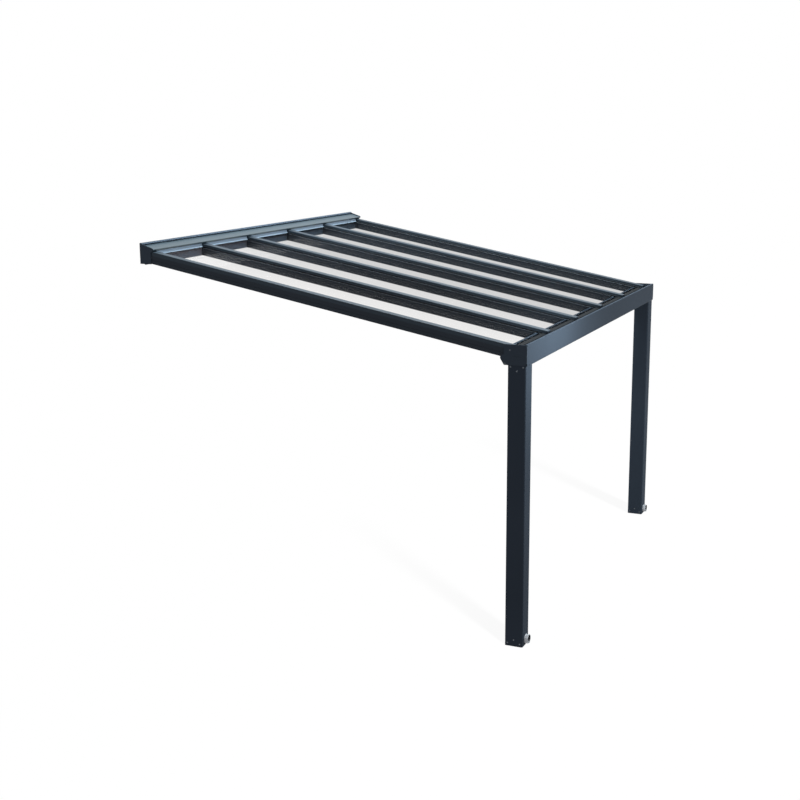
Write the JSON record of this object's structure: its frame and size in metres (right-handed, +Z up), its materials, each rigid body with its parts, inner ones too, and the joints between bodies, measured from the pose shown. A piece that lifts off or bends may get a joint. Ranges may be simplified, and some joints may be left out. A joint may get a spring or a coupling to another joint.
{
  "type": "patio awning",
  "caption": "Lean-to patio awning: glazed sloping roof on rafters between a wall profile and a box gutter carried by two square posts with drain spouts.",
  "frame": {"origin": "on the wall face of the wall profile, in the middle of its width, 3.02 m above the feet of the posts", "axes": "+Y into the wall, +X along the wall to the right seen from the front, +Z up"},
  "size_m": [4.0094, 3.531, 3.1102],
  "materials": {
    "frame_coat": "satin powder coat, anthracite grey",
    "end_plate_coat": "satin powder coat, anthracite grey",
    "post_coat": "satin powder coat, anthracite grey",
    "rafter_coat": "satin powder coat, anthracite grey",
    "strip_coat": "satin powder coat, anthracite grey",
    "cover_coat": "satin powder coat, anthracite grey",
    "trim_coat": "satin powder coat, anthracite grey",
    "lip_coat": "satin powder coat, anthracite grey",
    "foot_metal": "bare cast metal",
    "drain_plastic": "smooth light grey",
    "clear_glass": "clear polished"
  },
  "bodies": {
    "root": {"wall_profile": "frame_coat", "gutter": "frame_coat", "gutter_fascia": "frame_coat", "wall_cover": "cover_coat", "wall_end_cap_left": "end_plate_coat", "gutter_end_cap_left": "end_plate_coat", "post_left": "post_coat", "post_foot_left": "foot_metal", "drain_spout_left": "drain_plastic", "wall_end_cap_right": "end_plate_coat", "gutter_end_cap_right": "end_plate_coat", "post_right": "post_coat", "post_foot_right": "foot_metal", "drain_spout_right": "drain_plastic", "rafter_1": "rafter_coat", "rafter_cap_1": "strip_coat", "rafter_2": "rafter_coat", "rafter_cap_2": "strip_coat", "rafter_3": "rafter_coat", "rafter_cap_3": "strip_coat", "rafter_4": "rafter_coat", "rafter_cap_4": "strip_coat", "rafter_5": "rafter_coat", "rafter_cap_5": "strip_coat", "rafter_6": "rafter_coat", "rafter_cap_6": "strip_coat", "rafter_end_plates": "end_plate_coat", "glass_pane_1": "clear_glass", "glass_trim_1": "trim_coat", "glass_lip_1": "lip_coat", "glass_pane_2": "clear_glass", "glass_trim_2": "trim_coat", "glass_lip_2": "lip_coat", "glass_pane_3": "clear_glass", "glass_trim_3": "trim_coat", "glass_lip_3": "lip_coat", "glass_pane_4": "clear_glass", "glass_trim_4": "trim_coat", "glass_lip_4": "lip_coat", "glass_pane_5": "clear_glass", "glass_trim_5": "trim_coat", "glass_lip_5": "lip_coat"}
  },
  "joints": []
}
